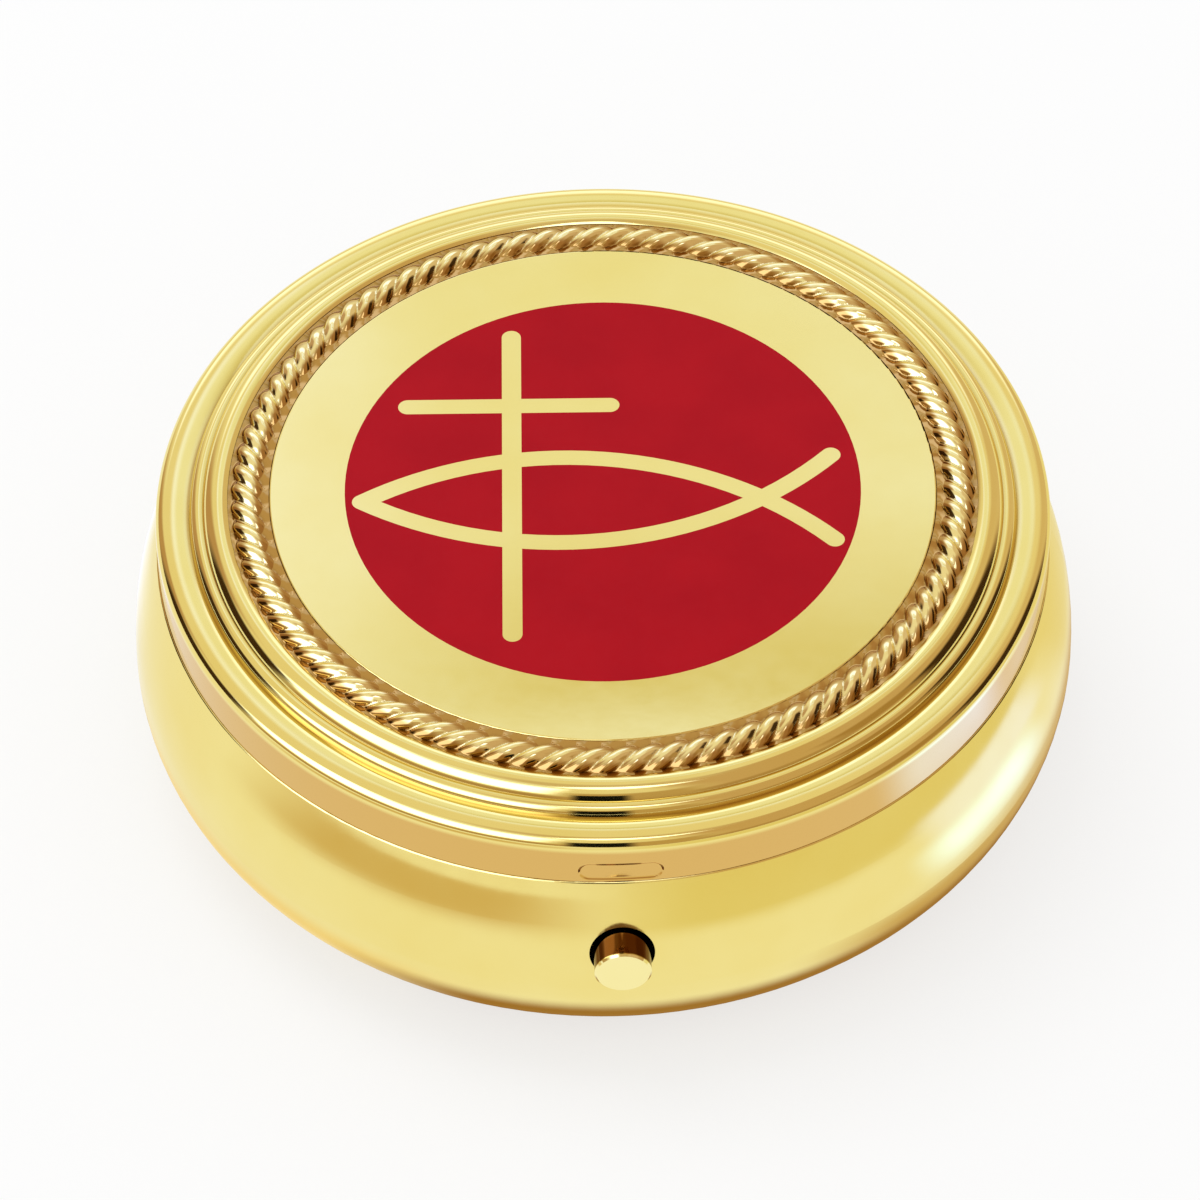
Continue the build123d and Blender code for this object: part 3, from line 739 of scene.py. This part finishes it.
def make_catch_strip():
    """Bent strip of the catch: the long arm, the pad behind the button and the tongue with its hook."""
    pad = math.degrees(math.asin(PAD_HALF / STRIP_OUTER))
    tongue = math.degrees(math.asin(TONGUE_HALF / STRIP_OUTER))
    angles = spaced(-STRIP_SWEEP, -pad, ARM_STEP) + spaced(-pad, -tongue, PAD_STEP)
    angles += spaced(-tongue, tongue, PAD_STEP)
    angles += spaced(tongue, pad, PAD_STEP) + [pad]
    levels = [PAD_BOTTOM, STRIP_BOTTOM, STRIP_TOP, HOOK_Z, HOOK_TOP]
    points, faces, found = [], [], {}

    def corner(column, level, out):
        key = (column, level, out)
        if key not in found:
            turn = math.radians(FRONT + angles[column])
            found[key] = len(points)
            points.append((out * math.cos(turn), out * math.sin(turn), level))
        return found[key]

    def filled(column, row):
        if not (0 <= column < len(angles) - 1 and 0 <= row < len(levels) - 1):
            return False
        middle = abs(angles[column] + angles[column + 1]) / 2
        return row == 1 or (row == 0 and middle < pad) or (row > 1 and middle < tongue)

    for column in range(len(angles) - 1):
        for row in range(len(levels) - 1):
            if not filled(column, row):
                continue
            low, high = levels[row], levels[row + 1]
            outer = [(low, STRIP_OUTER), (high, STRIP_OUTER)]
            if row == len(levels) - 2:
                hook = [(low, HOOK_REACH), (low + HOOK_TIP, HOOK_REACH)]
                outer = outer[:1] + hook + outer[1:]
            section = outer + [(high, STRIP_INNER), (low, STRIP_INNER)]
            skins = list(zip(outer, outer[1:])) + [(section[-2], section[-1])]
            if not filled(column, row + 1):
                skins.append(((high, STRIP_OUTER), (high, STRIP_INNER)))
            if not filled(column, row - 1):
                skins.append(((low, STRIP_OUTER), (low, STRIP_INNER)))
            for first, second in skins:
                near = corner(column, *first), corner(column + 1, *first)
                far = corner(column + 1, *second), corner(column, *second)
                faces.append(near + far)
            for beside, edge in ((column - 1, column), (column + 1, column + 1)):
                if not filled(beside, row):
                    faces.append(tuple(corner(edge, *place) for place in section))
    return smooth_mesh("catch_strip", points, faces, STRIP_SHARP)


# Every gilt below has shade painted into its crevices.
polished = gilt_material("polished_gilt", POLISHED_ROUGHNESS)
# The lid's skirt carries a painted tan reflection.
lid_gilt = gilt_material(
    "lid_gilt",
    MIRROR_ROUGHNESS,
    shade_openness=LID_SHADE_OPENNESS,
    crevice_shade=LID_CREVICE_SHADE,
    mask=skirt_reflection_mask,
    tone=SKIRT_TAN_REFLECTION,
)
# The rope shows a painted highlight on its crest, and painted shade on its flanks and between its lobes.
rope_gilt = gilt_material(
    "rope_gilt",
    MIRROR_ROUGHNESS,
    crevice=ROPE_CREVICE,
    shade_openness=LID_SHADE_OPENNESS,
    crevice_shade=ROPE_CREVICE_SHADE,
    mask=flank_shade_mask,
    tone=ROPE_FLANK_SHADE,
    gold=(ROPE_CREST_HIGHLIGHT_DEEP, ROPE_CREST_HIGHLIGHT),
)
# The button's shank carries a painted dark reflection.
button_gilt = gilt_material(
    "button_gilt",
    MIRROR_ROUGHNESS,
    mask=shank_reflection_mask,
    tone=BUTTON_SHANK_DARK_REFLECTION,
    gold=(BUTTON_DEEP, BUTTON_PALE),
)
bowl_gilt = gilt_material("bowl_gilt", BOWL_ROUGHNESS)
satin = gilt_material("satin_gilt", SATIN_ROUGHNESS)
inside = gilt_material("inside_gilt", INSIDE_ROUGHNESS)
enamel = enamel_material("red_enamel")
steel = steel_material("spring_steel")

dress(bowl_gilt, "bowl_shell")
dress(button_gilt, "push_button")
dress(polished, "hinge_pin", "body_hinge_leaf", "lid_hinge_leaf")
dress(satin, "medallion_plate")
dress(inside, "liner_cup", "lid_liner", "rim_ring", "catch_keeper", "catch_rivets")
dress(enamel, "enamel_field")

new_piece("lid", "lid", make_lid(), lid_gilt, "lid_shell")
new_piece("rope", "lid", make_rope(), rope_gilt, "rope_border")

coil = place_piece("coil", make_coil(), steel, "lid_spring")
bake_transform(coil)

strip = place_piece("catch_strip", make_catch_strip(), steel, "catch_spring")
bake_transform(strip)


def square(half):
    """Corners of a square round the middle."""
    return [(-half, -half), (half, -half), (half, half), (-half, half)]


def make_floor():
    """Plain white floor with a little glow of its own, and the patches of it that the metal mirrors.

    From below it is clear, so that the foot can be seen.
    """
    mesh = bpy.data.meshes.new("floor")
    corners = square(FLOOR_HALF)
    mesh.from_pydata([(x, y, -FLOOR_DROP * MM) for x, y in corners], [], [(0, 1, 2, 3)])
    floor = bpy.data.objects.new("floor", mesh)
    bpy.context.scene.collection.objects.link(floor)
    material, nodes, links, shader, place = new_material("floor_white")
    shader.inputs["Base Color"].default_value = FLOOR_WHITE
    shader.inputs["Roughness"].default_value = FLOOR_ROUGHNESS
    shader.inputs["Specular IOR Level"].default_value = 0.0
    turned, _ = bearing(nodes, links, place)
    distance = nodes.new("ShaderNodeVectorMath")
    distance.operation = "LENGTH"
    links.new(place, distance.inputs[0])
    mirrored = FLOOR_PALE
    for low, high, turn_soft, near, far, soft, colour in FLOOR_PATCHES:
        sideways = soft_band(nodes, links, turned, low, high, turn_soft)
        away = distance.outputs["Value"]
        outward = soft_band(nodes, links, away, near * MM, far * MM, soft * MM)
        mirrored = overlay(nodes, links, mirrored, multiply(nodes, links, sideways, outward), colour)
    card = nodes.new("ShaderNodeEmission")
    links.new(mirrored, card.inputs["Color"])
    glow = nodes.new("ShaderNodeEmission")
    path = nodes.new("ShaderNodeLightPath")
    seen = nodes.new("ShaderNodeMixShader")
    glowing = remap(nodes, links, path.outputs["Is Camera Ray"], 0, 1, 0, FLOOR_GLOW)
    links.new(glowing, seen.inputs["Fac"])
    links.new(shader.outputs["BSDF"], seen.inputs[1])
    links.new(glow.outputs["Emission"], seen.inputs[2])
    choose = nodes.new("ShaderNodeMixShader")
    links.new(path.outputs["Is Glossy Ray"], choose.inputs["Fac"])
    links.new(seen.outputs["Shader"], choose.inputs[1])
    links.new(card.outputs["Emission"], choose.inputs[2])
    clear = nodes.new("ShaderNodeBsdfTransparent")
    from_below = nodes.new("ShaderNodeMixShader")
    links.new(nodes.new("ShaderNodeNewGeometry").outputs["Backfacing"], from_below.inputs["Fac"])
    links.new(choose.outputs["Shader"], from_below.inputs[1])
    links.new(clear.outputs["BSDF"], from_below.inputs[2])
    links.new(from_below.outputs["Shader"], nodes["Material Output"].inputs["Surface"])
    mesh.materials.append(material)


def make_world():
    """White tent. The metal mirrors its panels and the darker gaps between them."""
    world = bpy.data.worlds.new("tent")
    bpy.context.scene.world = world
    world.use_nodes = True
    nodes, links = world.node_tree.nodes, world.node_tree.links
    nodes.clear()
    output = nodes.new("ShaderNodeOutputWorld")
    coordinates = nodes.new("ShaderNodeTexCoord")
    turned, upward = bearing(nodes, links, coordinates.outputs["Generated"])
    arc = nodes.new("ShaderNodeMath")
    arc.operation = "ARCSINE"
    links.new(upward, arc.inputs[0])
    height = in_degrees(nodes, links, arc.outputs[0])
    mirrored = TENT_WALL
    for low, high, bottom, top, soft, colour in TENT_PANELS:
        sideways = soft_band(nodes, links, turned, low, high, soft)
        if high > 180:
            past_back = soft_band(nodes, links, turned, low - 360, high - 360, soft)
            sideways = larger(nodes, links, sideways, past_back)
        upright = soft_band(nodes, links, height, bottom, top, soft)
        mirrored = overlay(nodes, links, mirrored, multiply(nodes, links, sideways, upright), colour)
    path = nodes.new("ShaderNodeLightPath")
    soft_light = nodes.new("ShaderNodeBackground")
    soft_light.inputs["Color"].default_value = WHITE
    soft_light.inputs["Strength"].default_value = WORLD_LIGHT
    panels = nodes.new("ShaderNodeBackground")
    links.new(mirrored, panels.inputs["Color"])
    white = nodes.new("ShaderNodeBackground")
    white.inputs["Color"].default_value = WHITE
    glossy = nodes.new("ShaderNodeMixShader")
    links.new(path.outputs["Is Glossy Ray"], glossy.inputs["Fac"])
    links.new(soft_light.outputs[0], glossy.inputs[1])
    links.new(panels.outputs[0], glossy.inputs[2])
    seen = nodes.new("ShaderNodeMixShader")
    links.new(path.outputs["Is Camera Ray"], seen.inputs["Fac"])
    links.new(glossy.outputs[0], seen.inputs[1])
    links.new(white.outputs[0], seen.inputs[2])
    links.new(seen.outputs[0], output.inputs["Surface"])


def make_card():
    """Soft white card above and behind, which only the metal shows. Its near right part is duller."""
    mesh = bpy.data.meshes.new("card")
    middle_x, middle_y = CARD_MIDDLE
    corners = [(middle_x + x, middle_y + y) for x, y in square(CARD_HALF)]
    mesh.from_pydata([(x * MM, y * MM, CARD_HEIGHT * MM) for x, y in corners], [], [(0, 1, 2, 3)])
    card = bpy.data.objects.new("card", mesh)
    bpy.context.scene.collection.objects.link(card)
    material, nodes, links, shader, place = new_material("card_white")
    nodes.remove(shader)
    parts = nodes.new("ShaderNodeSeparateXYZ")
    links.new(place, parts.inputs[0])
    across, along = parts.outputs["X"], parts.outputs["Y"]
    left = step_down(nodes, links, across, *CARD_LEFT_X)
    right = step_up(nodes, links, across, *CARD_RIGHT_X)
    front = step_down(nodes, links, along, *CARD_DULL_Y)
    not_left = step_up(nodes, links, across, *CARD_DULL_X)
    edge = step_down(nodes, links, along, *CARD_EDGE_Y)
    tone = overlay(nodes, links, CARD_PLAIN, left, CARD_LEFT)
    tone = overlay(nodes, links, tone, right, CARD_RIGHT)
    tone = overlay(nodes, links, tone, multiply(nodes, links, front, not_left), CARD_DULL)
    tone = overlay(nodes, links, tone, edge, CARD_EDGE)
    glow = nodes.new("ShaderNodeEmission")
    links.new(tone, glow.inputs["Color"])
    clear = nodes.new("ShaderNodeBsdfTransparent")
    solid = CARD_HALF - CARD_FADE
    sides = (middle_x - solid) * MM, (middle_x + solid) * MM
    ends = (middle_y - solid) * MM, (middle_y + solid) * MM
    wide = soft_band(nodes, links, across, *sides, CARD_FADE * MM)
    deep = soft_band(nodes, links, along, *ends, CARD_FADE * MM)
    fade = nodes.new("ShaderNodeMixShader")
    links.new(multiply(nodes, links, wide, deep), fade.inputs["Fac"])
    links.new(clear.outputs["BSDF"], fade.inputs[1])
    links.new(glow.outputs["Emission"], fade.inputs[2])
    links.new(fade.outputs["Shader"], nodes["Material Output"].inputs["Surface"])
    mesh.materials.append(material)
    card.visible_camera = False
    card.visible_diffuse = False
    card.visible_shadow = False


def make_flag():
    """Small black flag close before the lid, which puts the dark strokes into the fronts of its beads."""
    left, right = FLAG_X
    bottom, top = FLAG_Z
    corners = [(left, bottom), (right, bottom), (right, top), (left, top)]
    mesh = bpy.data.meshes.new("flag")
    mesh.from_pydata([(x * MM, FLAG_Y * MM, z * MM) for x, z in corners], [], [(0, 1, 2, 3)])
    material, nodes, links, shader, place = new_material("flag_black")
    shader.inputs["Base Color"].default_value = FLAG_BLACK
    shader.inputs["Roughness"].default_value = 1.0
    shader.inputs["Specular IOR Level"].default_value = 0.0
    parts = nodes.new("ShaderNodeSeparateXYZ")
    links.new(place, parts.inputs[0])
    solid = (left + FLAG_FADE) * MM, (right - FLAG_FADE) * MM
    fade = nodes.new("ShaderNodeMixShader")
    wide = soft_band(nodes, links, parts.outputs["X"], *solid, FLAG_FADE * MM)
    links.new(wide, fade.inputs["Fac"])
    links.new(nodes.new("ShaderNodeBsdfTransparent").outputs["BSDF"], fade.inputs[1])
    links.new(shader.outputs["BSDF"], fade.inputs[2])
    links.new(fade.outputs["Shader"], nodes["Material Output"].inputs["Surface"])
    mesh.materials.append(material)
    flag = bpy.data.objects.new("flag", mesh)
    bpy.context.scene.collection.objects.link(flag)
    flag.visible_camera = False
    flag.visible_diffuse = False
    flag.visible_shadow = False


def make_lamp():
    """Soft lamp over the object, for its shadow."""
    data = bpy.data.lights.new("lamp", "AREA")
    data.shape = "DISK"
    data.size = LAMP_SIZE
    data.energy = LAMP_POWER
    lamp = bpy.data.objects.new("lamp", data)
    bpy.context.scene.collection.objects.link(lamp)
    lamp.location = LAMP_PLACE
    lamp.rotation_mode = "QUATERNION"
    lamp.rotation_quaternion = (-LAMP_PLACE).to_track_quat("-Z", "Y")
    lamp.visible_glossy = False


def make_camera():
    """Camera at the photograph's viewing angle, with the plate's middle at its place in the picture."""
    azimuth, elevation = math.radians(CAMERA_AZIMUTH), math.radians(CAMERA_ELEVATION)
    level = Vector((math.cos(azimuth), math.sin(azimuth), 0))
    back = level * math.cos(elevation) + Vector((0, 0, math.sin(elevation)))
    half_side = IMAGE_SIDE_PX / 2
    right_px = PLATE_MIDDLE_PX[0] - half_side
    up_px = half_side - PLATE_MIDDLE_PX[1]
    data = bpy.data.cameras.new("camera")
    data.sensor_width = SENSOR_MM
    data.lens = FOCAL_PX / IMAGE_SIDE_PX * SENSOR_MM
    data.clip_start, data.clip_end = CAMERA_CLIP
    camera = bpy.data.objects.new("camera", data)
    bpy.context.scene.collection.objects.link(camera)
    look = (-back).to_track_quat("-Z", "Y").to_matrix().to_4x4()
    tilt = Matrix.Rotation(-math.atan(up_px / FOCAL_PX), 4, "X")
    pan = Matrix.Rotation(math.atan(right_px / FOCAL_PX), 4, "Y")
    roll = Matrix.Rotation(-math.radians(CAMERA_ROLL), 4, "Z")
    stand = Matrix.Translation(PLATE_MIDDLE + back * CAMERA_DISTANCE)
    camera.matrix_world = stand @ look @ roll @ tilt @ pan
    bpy.context.scene.camera = camera


make_floor()
make_world()
make_card()
make_flag()
make_lamp()
make_camera()

bpy.context.scene.view_settings.view_transform = "Standard"
